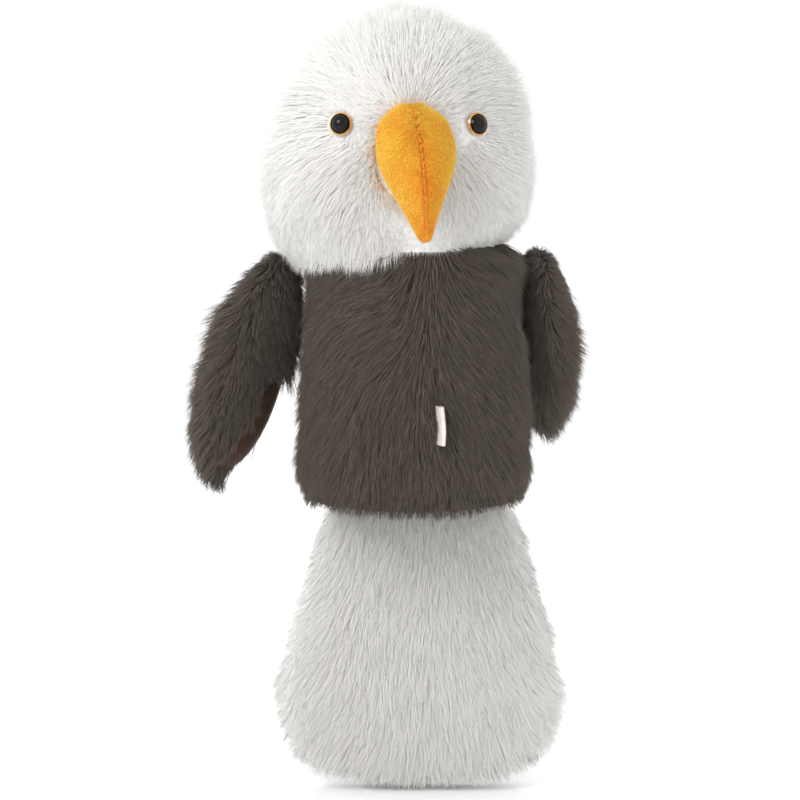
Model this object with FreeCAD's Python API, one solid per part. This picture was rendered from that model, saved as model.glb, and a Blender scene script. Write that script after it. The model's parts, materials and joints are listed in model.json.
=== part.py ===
"""Plush eagle driver head cover, one STEP file per sewn or moulded piece.

Millimetres. The eagle faces -Y, +Z is up and +X is on the right of someone who faces it.
The origin is the centre of the club opening at the bottom hem, and the club leaves along -Z.
"""
import FreeCAD
import Part
import math
import os

V = FreeCAD.Vector
OUT = "parts"

# Cloth layers, from the outside in
FUR = 14.0
LINING = 1.0
VELBOA = 1.6
SUEDE = 1.5

# Club opening: an elastic band sewn into a casing
OPENING_R = 30.0
CASING_LENGTH = 14.0
CASING_R = 34.0
CASING_CLOTH = 1.0
FACING = 1.5

# Where the head is sewn to the sleeve
NECK_Z = 143.0

# Sleeve, as height, half width, half depth of the pile's surface
SLEEVE = [(0.0, 65.0, 50.0), (40.0, 66.0, 51.0), (80.0, 64.0, 51.0), (115.0, 61.0, 52.0), (NECK_Z, 60.0, 54.0)]
SLEEVE_HALF = (66.0, 51.0)
FRONT_SEAM_X = 10.0

# Head, in its own frame: height, half width, half depth
HEAD = [
    (NECK_Z, 67.0, 62.0),
    (155.0, 73.5, 68.0),
    (176.0, 77.0, 72.0),
    (202.0, 77.0, 73.0),
    (228.0, 72.0, 69.0),
    (248.0, 63.0, 61.0),
    (264.0, 46.0, 46.0),
    (273.0, 25.0, 26.0),
    (276.0, 7.0, 7.0),
]
HEAD_HALF = (77.0, 73.0)
HEAD_MID_Z = 190.0
HEAD_TOP_Z = 276.0
HEAD_SHIFT_X = -9.0
HEAD_TURN = 7.0
GUSSET_HALF = 27.0
CHIN_TOP_Z = 190.0

# Pocket for the club head: height, half width, half depth and centre of the free space
POCKET = [
    (CASING_LENGTH, 30.0, 30.0, 0.0),
    (30.0, 37.0, 31.0, 0.0),
    (60.0, 43.5, 32.5, 0.0),
    (100.0, 42.0, 33.0, 0.0),
    (126.0, 41.0, 34.0, -1.0),
    (143.0, 42.0, 35.5, -2.5),
    (156.0, 48.0, 44.0, -7.0),
    (176.0, 56.0, 51.0, HEAD_SHIFT_X),
    (202.0, 56.0, 52.0, HEAD_SHIFT_X),
    (226.0, 51.0, 48.0, HEAD_SHIFT_X),
    (242.0, 41.0, 39.5, HEAD_SHIFT_X),
    (252.0, 25.5, 24.5, HEAD_SHIFT_X),
    (256.0, 7.0, 7.0, HEAD_SHIFT_X),
]

# Beak, in the head's frame: height, half width, front, back
BEAK = [
    (221.0, 7.0, -71.0, -56.0),
    (213.0, 17.0, -83.0, -54.0),
    (202.0, 20.2, -95.0, -54.0),
    (190.5, 19.7, -102.0, -54.5),
    (179.5, 15.4, -105.0, -58.0),
    (168.5, 10.0, -105.0, -70.0),
    (157.5, 5.2, -102.5, -83.0),
    (151.0, 2.0, -99.0, -92.5),
]
BEAK_HALF = (20.2, 22.0)
BEAK_ROLL = 3.0
BEAK_ROLL_Z = 202.0
BEAK_STITCHES = 15
STITCH_GAP = 0.15
STITCH_R = 0.55
STITCH_LENGTH = 3.4

# Safety eyes: their place on the head, the way they face, and their sizes
EYE_Z = 211.5
EYE_X = 36.0
EYE_FACING = 24.0
EYE_TILT = 6.0
IRIS_R = 6.4
PUPIL_R = 5.5
EYE_DOME = 3.4
PUPIL_RISE = 0.4
SHANK_R = 2.5
SHANK_LENGTH = 6.5
WASHER_R = 8.5
WASHER_THICKNESS = 2.0
EYE_STAND_OFF = 2.5
EYE_CLEARING = 7.4

# Wing hanging straight down from its root: distance from root, half width, half thickness
WING = [
    (0.0, 15.0, 5.5),
    (12.0, 23.0, 10.0),
    (38.0, 31.0, 15.0),
    (75.0, 32.0, 16.5),
    (104.0, 27.0, 14.5),
    (123.0, 17.0, 10.5),
    (132.0, 7.0, 5.0),
]
WING_UNDERSIDE = 7.0
WING_FILLING_SHARE = 0.5
WING_FILLING_END = 14.0
WING_LEFT_ROOT = V(-74.0, 4.0, 136.0)
WING_LEFT_YAW = 40.0
WING_LEFT_OUT = 16.0
WING_LEFT_BACK = 0.0
WING_RIGHT_ROOT = V(71.0, 0.0, 136.0)
WING_RIGHT_YAW = 18.0
WING_RIGHT_OUT = 1.0
WING_RIGHT_BACK = 40.0

# Tail fan, measured from its hinge line: outline as half width and drop, side as drop and half thickness
TAIL_CENTRE_X = 4.0
TAIL_HINGE_Y = 47.5
TAIL_HINGE_Z = -1.6
TAIL_OUTLINE = [(51.0, 0.0), (65.0, 40.0), (79.0, 90.0), (83.0, 123.0), (72.0, 149.0), (41.0, 163.0), (0.0, 167.0)]
TAIL_SIDE = [(1.0, 0.0), (2.4, 5.0), (9.0, 18.0), (15.0, 44.0), (15.5, 96.0), (14.0, 141.0), (8.0, 161.0), (0.0, 168.0)]
TAIL_FILLING = 3.5
TAIL_FILLING_SHARE = 0.82

# Care label in the front seam
LABEL_Z = 38.5
LABEL_HEIGHT = 21.5
LABEL_THICKNESS = 0.6
LABEL_PROUD = 7.0
LABEL_TURN = 14.0

# Drawing helpers
RING_POINTS = 16
SQUARENESS = 2.25
CUT_OVERRUN = 3.0
BIG = 400.0


def ring(z, half_x, half_y, centre_x=0.0, centre_y=0.0, squareness=SQUARENESS):
    """Closed smooth ring at height z, between an ellipse and a rounded rectangle."""
    points = []
    for step in range(RING_POINTS):
        angle = 2.0 * math.pi * step / RING_POINTS
        c = math.cos(angle)
        s = math.sin(angle)
        x = half_x * math.copysign(abs(c) ** (2.0 / squareness), c)
        y = half_y * math.copysign(abs(s) ** (2.0 / squareness), s)
        points.append(V(centre_x + x, centre_y + y, z))
    curve = Part.BSplineCurve()
    curve.interpolate(Points=points, PeriodicFlag=True)
    return Part.Wire([curve.toShape()])


def loft(rings):
    return Part.makeLoft(rings, True, False)


def block(low, high):
    """Box between two corners."""
    size = high - low
    return Part.makeBox(size.x, size.y, size.z, low)


def tube(sections, half, inset=0.0, base_z=None, top=None):
    """Loft through (z, half_x, half_y) rings, drawn in by inset all round and at the top."""
    share_x = 1.0 - inset / half[0]
    share_y = 1.0 - inset / half[1]
    rings = []
    if base_z is not None:
        first = sections[0]
        rings.append(ring(base_z, first[1] * share_x, first[2] * share_y))
    for z, half_x, half_y in sections:
        if top is not None and z > HEAD_MID_Z:
            z = HEAD_MID_Z + (z - HEAD_MID_Z) * (1.0 - inset / (top - HEAD_MID_Z))
        rings.append(ring(z, half_x * share_x, half_y * share_y))
    return loft(rings)


def place_head(shape):
    """Carry a piece from the head's own frame to its place on the cover."""
    placed = shape.copy()
    placed.rotate(V(0, 0, 0), V(0, 0, 1), HEAD_TURN)
    placed.translate(V(HEAD_SHIFT_X, 0, 0))
    return placed


def solids_of(shape):
    """The closed solids of a result, as one shape."""
    solids = shape.Solids
    return solids[0] if len(solids) == 1 else Part.makeCompound(solids)


def largest(shape):
    """The one big solid of a result, without slivers."""
    return max(shape.Solids, key=lambda solid: solid.Volume)


def save(name, shape):
    shape = solids_of(shape)
    shape.exportStep(os.path.join(OUT, name + ".step"))
    print(f"{name:20s} solids {len(shape.Solids)} volume {shape.Volume / 1000.0:8.2f} cm3 valid {shape.isValid()}")
    return shape


def beak_form(inset=0.0):
    """The beak's outer form, or the form left inside its cloth, standing straight."""
    share_x = 1.0 - inset / BEAK_HALF[0]
    share_y = 1.0 - inset / BEAK_HALF[1]
    rings = []
    for z, half_x, front, back in BEAK:
        centre_y = 0.5 * (front + back)
        half_y = 0.5 * (back - front)
        drop = inset * (BEAK[3][0] - z) / (BEAK[0][0] - BEAK[3][0])
        rings.append(ring(z + drop, half_x * share_x, half_y * share_y, 0.0, centre_y, 2.0))
    return loft(rings)


def roll_beak(shape):
    """Lean the beak a little to one side, as the head is tilted."""
    shape.rotate(V(0, 0, BEAK_ROLL_Z), V(0, 1, 0), -BEAK_ROLL)
    return shape


def beak_front(beak, z):
    """Y of the beak's ridge at height z, before it is rolled."""
    ray = Part.makeLine(V(0, -BIG, z), V(0, BEAK[0][2], z))
    return min(vertex.Point.y for vertex in beak.common(ray).Vertexes)


def make_beak(head_backing):
    """Two side panels, the underside, the filling and the stitches down the ridge."""
    straight = beak_form()
    whole = roll_beak(straight.copy()).cut(head_backing)
    core = roll_beak(beak_form(VELBOA)).cut(head_backing)
    cloth = whole.cut(core)
    top = V(0, 0.5 * (BEAK[0][2] + BEAK[0][3]), BEAK[0][0])
    tip = V(0, 0.5 * (BEAK[-1][2] + BEAK[-1][3]) + 1.0, BEAK[-1][0])
    lean = math.degrees(math.atan2(top.y - tip.y, top.z - tip.z))
    behind = block(V(-BIG, 0, -BIG), V(BIG, BIG, BIG))
    behind.rotate(V(0, 0, 0), V(1, 0, 0), -lean)
    behind.translate(top)
    behind = roll_beak(behind)
    pieces = {"beak_underside": cloth.common(behind), "beak_filling": core}
    sides = cloth.cut(behind)
    pieces["beak_left"] = sides.common(roll_beak(block(V(-BIG, -BIG, -BIG), V(0, BIG, BIG))))
    pieces["beak_right"] = sides.common(roll_beak(block(V(0, -BIG, -BIG), V(BIG, BIG, BIG))))
    stitches = []
    first = BEAK[0][0] - 6.0
    last = BEAK[-1][0] + 5.0
    for index in range(BEAK_STITCHES):
        z = first + (last - first) * index / (BEAK_STITCHES - 1)
        half = STITCH_LENGTH / 2.0
        slope = (beak_front(straight, z + half) - beak_front(straight, z - half)) / STITCH_LENGTH
        along = V(0.0, slope, 1.0).normalize()
        proud = V(0.0, -along.z, along.y) * (STITCH_R + STITCH_GAP)
        centre = V(0.0, beak_front(straight, z), z) + proud
        start = centre - along * half
        stitches.append(Part.makeCylinder(STITCH_R, STITCH_LENGTH, start, along))
    pieces["beak_seam_thread"] = roll_beak(Part.makeCompound(stitches))
    return whole, pieces


def eye_frame(side, backing):
    """Point on the backing behind one eye, and the way the eye faces, in the head's frame."""
    angle = math.radians(EYE_FACING)
    tilt = math.radians(EYE_TILT)
    facing = V(side * math.sin(angle) * math.cos(tilt), -math.cos(angle) * math.cos(tilt), math.sin(tilt))
    ray = Part.makeLine(V(side * EYE_X, 0, EYE_Z), V(side * EYE_X, -BIG, EYE_Z))
    hits = backing.common(ray)
    surface = min(hits.Vertexes, key=lambda vertex: vertex.Point.y).Point
    return V(surface), facing


def dome(radius, height, at, facing):
    """Spherical cap on a flat base."""
    sphere_r = (radius * radius + height * height) / (2.0 * height)
    ball = Part.makeSphere(sphere_r, at + facing * (height - sphere_r), facing)
    keep = Part.makeCylinder(radius + 1.0, height + 1.0, at, facing)
    return ball.common(keep)


def make_eye(side, backing):
    """Amber rim, black pupil on a ridged shank and locking washer, and the space they take."""
    point, facing = eye_frame(side, backing)
    seat = point + facing * EYE_STAND_OFF
    cap = dome(IRIS_R, EYE_DOME, seat, facing)
    bore = Part.makeCylinder(PUPIL_R, EYE_DOME + 2.0, seat, facing)
    iris = cap.cut(bore)
    pupil = dome(PUPIL_R, EYE_DOME + PUPIL_RISE, seat, facing)
    shank = Part.makeCylinder(SHANK_R, SHANK_LENGTH, seat - facing * SHANK_LENGTH, facing)
    pupil = pupil.fuse(shank)
    washer_base = point - facing * (WASHER_THICKNESS + 1.0)
    washer = Part.makeCylinder(WASHER_R, WASHER_THICKNESS, washer_base, facing)
    washer = washer.cut(shank)
    clearing = Part.makeCylinder(EYE_CLEARING, FUR * 2.0, seat, facing)
    taken = clearing.fuse([shank, washer])
    return {"iris": iris, "pupil": pupil, "washer": washer}, taken


def make_head():
    """Fur panels, padding envelope, beak and eyes, all in place on the cover."""
    outer = tube(HEAD, HEAD_HALF)
    backing = tube(HEAD, HEAD_HALF, FUR, NECK_Z - CUT_OVERRUN, HEAD_TOP_Z)
    beak, pieces = make_beak(backing)
    taken = [beak]
    for side, word in ((-1, "left"), (1, "right")):
        eye, space = make_eye(side, backing)
        taken.append(space)
        for key, shape in eye.items():
            pieces[f"eye_{word}_{key}"] = shape
    fur = outer.cut(backing).cut(taken)
    inside = backing.cut(block(V(-BIG, -BIG, -BIG), V(BIG, BIG, NECK_Z))).cut(taken)
    middle = block(V(-GUSSET_HALF, -BIG, -BIG), V(GUSSET_HALF, BIG, BIG))
    chin_space = block(V(-GUSSET_HALF, -BIG, -BIG), V(GUSSET_HALF, 0, CHIN_TOP_Z))
    pieces["head_chin_panel"] = fur.common(chin_space)
    pieces["head_crown_gusset"] = fur.common(middle).cut(chin_space)
    pieces["head_side_left"] = fur.common(block(V(-BIG, -BIG, -BIG), V(-GUSSET_HALF, BIG, BIG)))
    pieces["head_side_right"] = fur.common(block(V(GUSSET_HALF, -BIG, -BIG), V(BIG, BIG, BIG)))
    placed = {name: place_head(shape) for name, shape in pieces.items()}
    return placed, place_head(inside)


def make_label():
    """Folded care label that stands out of the front seam."""
    front = -(SLEEVE_HALF[1] + LABEL_PROUD)
    back = -(SLEEVE_HALF[1] - FUR - 1.0)
    low = V(FRONT_SEAM_X - LABEL_THICKNESS / 2.0, front, LABEL_Z)
    high = V(FRONT_SEAM_X + LABEL_THICKNESS / 2.0, back, LABEL_Z + LABEL_HEIGHT)
    label = block(low, high)
    label.rotate(V(FRONT_SEAM_X, back, 0), V(0, 0, 1), LABEL_TURN)
    return label


def make_sleeve():
    """Sleeve fur panels, the label, the opening's hem, and the padding envelope."""
    outer = tube(SLEEVE, SLEEVE_HALF)
    backing = tube(SLEEVE, SLEEVE_HALF, FUR)
    label = make_label().cut(backing)
    fur = outer.cut(backing).cut(label)
    front = block(V(-BIG, -BIG, -BIG), V(BIG, 0, BIG))
    left = block(V(-BIG, -BIG, -BIG), V(FRONT_SEAM_X, 0, BIG))
    pieces = {"body_back": fur.cut(front), "care_label": label}
    pieces["body_front_left"] = fur.common(left)
    pieces["body_front_right"] = fur.common(front).cut(left)
    casing_outer = Part.makeCylinder(CASING_R, CASING_LENGTH)
    opening = Part.makeCylinder(OPENING_R, CASING_LENGTH)
    band_low = V(0, 0, CASING_CLOTH)
    band_height = CASING_LENGTH - 2.0 * CASING_CLOTH
    band = Part.makeCylinder(CASING_R - CASING_CLOTH, band_height, band_low)
    band = band.cut(Part.makeCylinder(OPENING_R + CASING_CLOTH, band_height, band_low))
    pieces["elastic_band"] = band
    pieces["hem_casing"] = casing_outer.cut(opening).cut(band)
    slab = block(V(-BIG, -BIG, 0), V(BIG, BIG, FACING))
    pieces["hem_facing"] = backing.common(slab).cut(casing_outer)
    inside = backing.cut(slab).cut(casing_outer)
    return pieces, inside


def make_pocket(head_inside, sleeve_inside):
    """Knit lining in two halves, and the padding between it and the fur."""
    first = POCKET[0]
    free = [ring(first[0] - CUT_OVERRUN, first[1], first[2], first[3])]
    skin = []
    for z, half_x, half_y, centre_x in POCKET:
        rise = LINING if z > HEAD_MID_Z else 0.0
        free.append(ring(z, half_x, half_y, centre_x))
        skin.append(ring(z + rise, half_x + LINING, half_y + LINING, centre_x))
    free = loft(free)
    skin = loft(skin)
    lining = skin.cut(free)
    pieces = {}
    pieces["pocket_lining_left"] = largest(lining.common(block(V(-BIG, -BIG, -BIG), V(0, BIG, BIG))))
    pieces["pocket_lining_right"] = largest(lining.common(block(V(0, -BIG, -BIG), V(BIG, BIG, BIG))))
    pieces["head_padding"] = head_inside.cut(skin)
    pieces["body_padding"] = sleeve_inside.cut(skin)
    return pieces


def wing_form(share=1.0, trim=0.0):
    """Wing hanging down, width along Y with the leading edge in front, outer face towards -X."""
    rings = []
    last = WING[-1][0]
    for drop, half_y, half_x in WING:
        place = trim + drop * (last - 2.0 * trim) / last
        rings.append(ring(-place, half_x * share, half_y * share, 0.0, 0.0, 2.0))
    return loft(rings)


def make_wing(mirrored, root, yaw, out, back):
    """Fur panel, filling and suede lining of one wing, and the line along its root."""
    whole = wing_form()
    core = wing_form(WING_FILLING_SHARE, WING_FILLING_END)
    under = block(V(WING_UNDERSIDE - SUEDE, -BIG, -BIG), V(BIG, BIG, BIG))
    beyond = block(V(WING_UNDERSIDE, -BIG, -BIG), V(BIG, BIG, BIG))
    filling = core.cut(under)
    pieces = {
        "lining": whole.common(under).cut(beyond),
        "filling": filling,
        "fur": whole.cut(under).cut(filling),
    }
    side = -1.0
    if mirrored:
        pieces = {key: shape.mirror(V(0, 0, 0), V(1, 0, 0)) for key, shape in pieces.items()}
        side = 1.0
    root_line = V(0, -side, 0)
    turn = FreeCAD.Rotation(V(1, 0, 0), back)
    turn = turn.multiply(FreeCAD.Rotation(V(0, 1, 0), -side * out))
    turn = turn.multiply(FreeCAD.Rotation(V(0, 0, 1), side * yaw))
    place = FreeCAD.Placement(root, turn)
    for shape in pieces.values():
        shape.Placement = place.multiply(shape.Placement)
    return pieces, turn.multVec(root_line)


def make_tail():
    """Front and back fur panels of the tail fan, and the filling between them."""
    def outline(share, thickness):
        right = [V(x * share, 0, -drop * share) for x, drop in TAIL_OUTLINE]
        left = [V(-point.x, 0, point.z) for point in reversed(right[:-1])]
        curve = Part.BSplineCurve()
        curve.interpolate(Points=right + left)
        top = Part.LineSegment(left[-1], right[0])
        face = Part.Face(Part.Wire([curve.toShape(), top.toShape()]))
        plate = face.extrude(V(0, 2.0 * thickness, 0))
        plate.translate(V(0, -thickness, 0))
        return plate

    back = [V(0, half, -drop) for half, drop in TAIL_SIDE]
    front = [V(0, -point.y, point.z) for point in reversed(back[:-1])]
    curve = Part.BSplineCurve()
    curve.interpolate(Points=back + front)
    top = Part.LineSegment(front[-1], back[0])
    side = Part.Face(Part.Wire([curve.toShape(), top.toShape()])).extrude(V(2.0 * BIG, 0, 0))
    side.translate(V(-BIG, 0, 0))
    whole = outline(1.0, BIG / 4.0).common(side)
    filling = outline(TAIL_FILLING_SHARE, TAIL_FILLING)
    filling.translate(V(0, 0, -(1.0 - TAIL_FILLING_SHARE) * 0.5 * TAIL_OUTLINE[-1][1]))
    fur = whole.cut(filling)
    pieces = {
        "tail_front": fur.common(block(V(-BIG, -BIG, -BIG), V(BIG, 0, BIG))),
        "tail_back": fur.common(block(V(-BIG, 0, -BIG), V(BIG, BIG, BIG))),
        "tail_filling": filling,
    }
    for shape in pieces.values():
        shape.translate(V(TAIL_CENTRE_X, TAIL_HINGE_Y, TAIL_HINGE_Z))
    return pieces


def main():
    os.makedirs(OUT, exist_ok=True)
    head, head_inside = make_head()
    sleeve, sleeve_inside = make_sleeve()
    pieces = dict(head)
    pieces.update(sleeve)
    pieces.update(make_pocket(head_inside, sleeve_inside))
    wings = (
        ("left", False, WING_LEFT_ROOT, WING_LEFT_YAW, WING_LEFT_OUT, WING_LEFT_BACK),
        ("right", True, WING_RIGHT_ROOT, WING_RIGHT_YAW, WING_RIGHT_OUT, WING_RIGHT_BACK),
    )
    for word, mirrored, root, yaw, out, back in wings:
        wing, axis = make_wing(mirrored, root, yaw, out, back)
        print(f"wing_{word} hinge at {root} along {axis}")
        for key, shape in wing.items():
            pieces[f"wing_{word}_{key}"] = shape
    pieces.update(make_tail())
    for name, shape in pieces.items():
        save(name, shape)


main()
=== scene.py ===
"""Plush eagle driver head cover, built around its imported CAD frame.

Everything is in metres, in the frame's own axes: the eagle faces -Y and +Z is up.
The pile is real strands, rooted on the backing cloth of each panel.
"""
import bpy
import json
import math
import numpy as np
from bpy.props import FloatProperty, FloatVectorProperty, IntProperty, PointerProperty
from bpy.types import Operator, Panel, PropertyGroup
from mathutils import Euler, Matrix, Vector


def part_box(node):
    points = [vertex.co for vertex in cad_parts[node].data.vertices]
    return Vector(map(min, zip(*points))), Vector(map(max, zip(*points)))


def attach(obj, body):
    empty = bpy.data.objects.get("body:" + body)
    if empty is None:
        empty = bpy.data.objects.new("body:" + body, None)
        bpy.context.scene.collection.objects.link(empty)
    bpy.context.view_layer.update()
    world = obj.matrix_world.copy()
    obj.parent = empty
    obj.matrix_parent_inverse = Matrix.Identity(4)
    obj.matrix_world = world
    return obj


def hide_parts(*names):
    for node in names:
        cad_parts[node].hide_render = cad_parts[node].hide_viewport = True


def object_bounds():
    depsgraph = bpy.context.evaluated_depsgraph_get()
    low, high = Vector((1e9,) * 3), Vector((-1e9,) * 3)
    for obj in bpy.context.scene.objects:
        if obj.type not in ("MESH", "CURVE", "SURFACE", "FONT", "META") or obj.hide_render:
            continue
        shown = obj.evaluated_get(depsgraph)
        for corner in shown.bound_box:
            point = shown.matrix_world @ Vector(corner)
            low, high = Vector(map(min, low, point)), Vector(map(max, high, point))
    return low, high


bl_info = {
    "name": "Plush Head Cover",
    "version": (1, 0, 0),
    "blender": (4, 5, 0),
    "location": "View3D > Sidebar > Head Cover",
    "description": "Builds a plush eagle driver head cover piece by piece",
    "category": "Object",
}

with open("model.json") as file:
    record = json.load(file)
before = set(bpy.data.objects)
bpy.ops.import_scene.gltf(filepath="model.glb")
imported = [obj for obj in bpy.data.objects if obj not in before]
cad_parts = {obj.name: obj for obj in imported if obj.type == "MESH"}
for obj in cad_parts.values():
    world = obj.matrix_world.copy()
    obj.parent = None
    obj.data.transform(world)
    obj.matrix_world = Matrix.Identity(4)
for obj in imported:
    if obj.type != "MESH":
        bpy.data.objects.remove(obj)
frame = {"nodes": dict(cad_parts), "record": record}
cad_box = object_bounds()

MM = 0.001
UP = np.array([0.0, 0.0, 1.0])
DOWN = -UP

# Head, in its own frame, as height, half width and half depth of the backing cloth
HEAD_TURN = math.radians(7)
HEAD_SHIFT = Vector((-9 * MM, 0, 0))
HEAD_CLOTH = [
    (144, 50, 46), (156, 57, 52), (176, 61.5, 57), (202, 62, 58), (226, 57.5, 55),
    (244, 49, 47.5), (257, 34, 33), (264, 17, 17), (266, 1, 1),
]
GUSSET_HALF = 27 * MM
CHIN_TOP = 190 * MM

# Sleeve, as height, half width and half depth of the backing cloth
SLEEVE_CLOTH = [
    (3, 54.5, 39.5), (20, 55, 40.5), (45, 54.5, 41), (80, 52.5, 40.5), (110, 49.5, 41), (138, 48.5, 42),
    (147, 45, 40),
]
FRONT_SEAM = 10 * MM

# Club opening and the pocket above it: height, half width, half depth and centre of the knit's outer face
OPENING_R = 30 * MM
POCKET_CLOTH = [
    (14, 31, 31, 0), (30, 38, 32, 0), (60, 44.5, 33.5, 0), (100, 43, 34, 0), (126, 42, 35, -1),
    (143, 43, 36.5, -2.5),
    (156, 49, 45, -7), (176, 57, 52, -9), (202, 57, 53, -9), (227, 52, 49, -9), (243, 42, 40.5, -9),
    (253, 26.5, 25.5, -9), (256.5, 4, 4, -9),
]
POCKET_CUT_WIDTH = 260 * MM

# Beak, in the head's frame: height, half width, front, back
BEAK_FORM = [
    (222, 3, -66, -57), (220.5, 7.5, -71, -56), (213, 16.6, -82.5, -54.5), (202, 19.8, -94.5, -54.5),
    (190.5, 19.3, -101.5, -55), (179.5, 15, -104.5, -58.5), (168.5, 9.7, -104.5, -70), (157.5, 5, -102, -83),
    (151.6, 2.6, -99.3, -91.5), (150.2, 0.6, -97, -94.5),
]
BEAK_MIDDLE = np.array([0.0, -74, 194]) * MM
BEAK_ROLL = math.radians(-3)
BEAK_ROLL_CENTRE = Vector((0, 0, 202 * MM))

# Wing hanging straight down from its root: drop, half width, half thickness of the backing cloth
WING_CLOTH = [
    (-4, 1, 0.6), (-2, 7, 3), (3, 11, 5), (14, 17, 6.5), (38, 24, 9), (72, 26, 9.5), (96, 22, 8.5),
    (112, 14, 6),
    (119, 6, 3), (121, 1, 0.6),
]
WING_UNDERSIDE = 7 * MM
LINING_FROM = 0.35
LINING_HEIGHTS = [-115 * MM, -80 * MM, -45 * MM]
LINING_EDGE = [-12 * MM, 4 * MM, 30 * MM]
WINGS = {
    "left": dict(side=-1, root=(-74, 4, 136), yaw=40, out=16, back=0),
    "right": dict(side=1, root=(71, 0, 136), yaw=18, out=1, back=40),
}

# Tail fan below its hinge line, tip first: drop, half width and half thickness of the backing cloth
TAIL_PLACE = Vector((4, 47.5, -1.6)) * MM
TAIL_CLOTH = [
    (156, 10, 1), (153.5, 34, 3), (144, 60, 4.5), (121, 73, 5.5), (90, 69, 5.5), (45, 57, 5.5), (15, 49, 4.5),
    (2, 45, 2),
]

RING_STEPS = 96
SQUARENESS = 2.25
STRAND_SIDES = 3
TRIANGLES_PER_PIECE = 195000
SHADES = 32
# Pile with at least this share of its strands' own facing is shaded by their own normals alone
OWN_NORMALS = 3.0
WHITE_BACKING = (0.80, 0.785, 0.75)
BROWN_BACKING = (0.035, 0.026, 0.02)


# ---------------------------------------------------------------- settings

def colour(name, description, default):
    return FloatVectorProperty(name=name, description=description, subtype="COLOR", size=3, min=0, max=1,
                               default=default)


class COVER_PG_fur(PropertyGroup):
    """Pile lengths, thicknesses and colours."""
    head_length: FloatProperty(name="Head pile", description="Length of the head's strands",
                               default=0.0195, unit="LENGTH")
    sleeve_length: FloatProperty(name="Sleeve pile", description="Length of the brown strands",
                                 default=0.023, unit="LENGTH")
    tail_length: FloatProperty(name="Tail pile", description="Length of the tail's strands",
                               default=0.020, unit="LENGTH")
    beak_length: FloatProperty(name="Beak pile", description="Length of the beak's strands",
                               default=0.0017, unit="LENGTH")
    brown_thickness: FloatProperty(name="Brown strand", description="Thickness of a brown strand at its root",
                                   default=0.0005, unit="LENGTH")
    white_thickness: FloatProperty(name="White strand", description="Thickness of a white strand at its root",
                                   default=0.00044, unit="LENGTH")
    brown_density: FloatProperty(name="Brown density",
                                 description="Brown strands on each square millimetre of cloth",
                                 default=1.75, min=0.05)
    white_density: FloatProperty(name="White density",
                                 description="White strands on each square millimetre of cloth",
                                 default=2.6, min=0.05)
    seed: IntProperty(name="Seed", description="Where the random draws start", default=11)
    white_root: colour("White root", "Shaded base of the white pile", (0.74, 0.72, 0.67))
    white_tip: colour("White tip", "Ends of the white pile", (0.90, 0.892, 0.865))
    brown_root: colour("Brown root", "Base of the brown pile", (0.006, 0.004, 0.003))
    brown_middle: colour("Brown middle", "Middle of the brown strands", (0.030, 0.021, 0.0145))
    brown_tip: colour("Brown tip", "Pale ends of the lighter brown strands", (0.52, 0.40, 0.29))


class COVER_PG_cloth(PropertyGroup):
    """Colours of the short-pile and woven cloths."""
    beak_yellow: colour("Beak yellow", "Main colour of the beak", (0.94, 0.56, 0.035))
    beak_orange: colour("Beak orange", "Deeper colour down the beak's middle", (0.90, 0.29, 0.006))
    beak_thread: colour("Beak thread", "Thread down the beak's seam", (0.80, 0.20, 0.01))
    suede: colour("Wing lining", "Brushed cloth under the wings", (0.050, 0.021, 0.008))
    knit: colour("Pocket knit", "Knit lining of the pocket", (0.035, 0.033, 0.032))
    label: colour("Label", "Blank woven tape", (0.80, 0.72, 0.69))
    elastic: colour("Elastic", "Woven elastic band", (0.72, 0.70, 0.65))


class COVER_PG_stage(PropertyGroup):
    """Floor, lights and camera."""
    floor: colour("Floor", "Colour of the plain floor", (0.99, 0.99, 0.99))
    daylight: FloatProperty(name="Daylight", description="Strength of the white surroundings", default=1.02)
    camera_distance: FloatProperty(name="Distance", description="Camera to the cover", default=1.5,
                                   unit="LENGTH")
    camera_height: FloatProperty(name="Height", description="Camera above the hem", default=0.19,
                                 unit="LENGTH")
    lens: FloatProperty(name="Lens", description="Focal length in millimetres", default=121.0)


# ---------------------------------------------------------------- surfaces

class Cloth:
    """A surface of quads with a normal at each corner, for cloth and for the roots of pile."""

    def __init__(self, points, faces, normals):
        self.points = points
        self.faces = faces
        self.normals = normals

    def part(self, keep):
        """The faces whose middle passes the test."""
        middles = self.points[self.faces].mean(axis=1)
        return Cloth(self.points, self.faces[keep(middles)], self.normals)

    def triangles(self):
        return np.concatenate([self.faces[:, [0, 1, 2]], self.faces[:, [0, 2, 3]]])

    def area(self):
        tri = self.triangles()
        a, b, c = (self.points[tri[:, i]] for i in range(3))
        return float(0.5 * np.linalg.norm(np.cross(b - a, c - a), axis=1).sum())

    def roots(self, density, rng):
        """Evenly spread random points, with their normals, at density per square millimetre."""
        tri = self.triangles()
        a, b, c = (self.points[tri[:, i]] for i in range(3))
        area = 0.5 * np.linalg.norm(np.cross(b - a, c - a), axis=1)
        count = int(area.sum() / MM ** 2 * density)
        pick = rng.choice(len(tri), size=count, p=area / area.sum())
        u = rng.random(count)
        v = rng.random(count)
        flip = u + v > 1
        u[flip] = 1 - u[flip]
        v[flip] = 1 - v[flip]
        w = np.stack([1 - u - v, u, v], axis=1)[:, :, None]
        place = (self.points[tri[pick]] * w).sum(axis=1)
        normal = unit((self.normals[tri[pick]] * w).sum(axis=1))
        return place, normal


def unit(vectors):
    return vectors / np.maximum(np.linalg.norm(vectors, axis=-1, keepdims=True), 1e-12)


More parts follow.
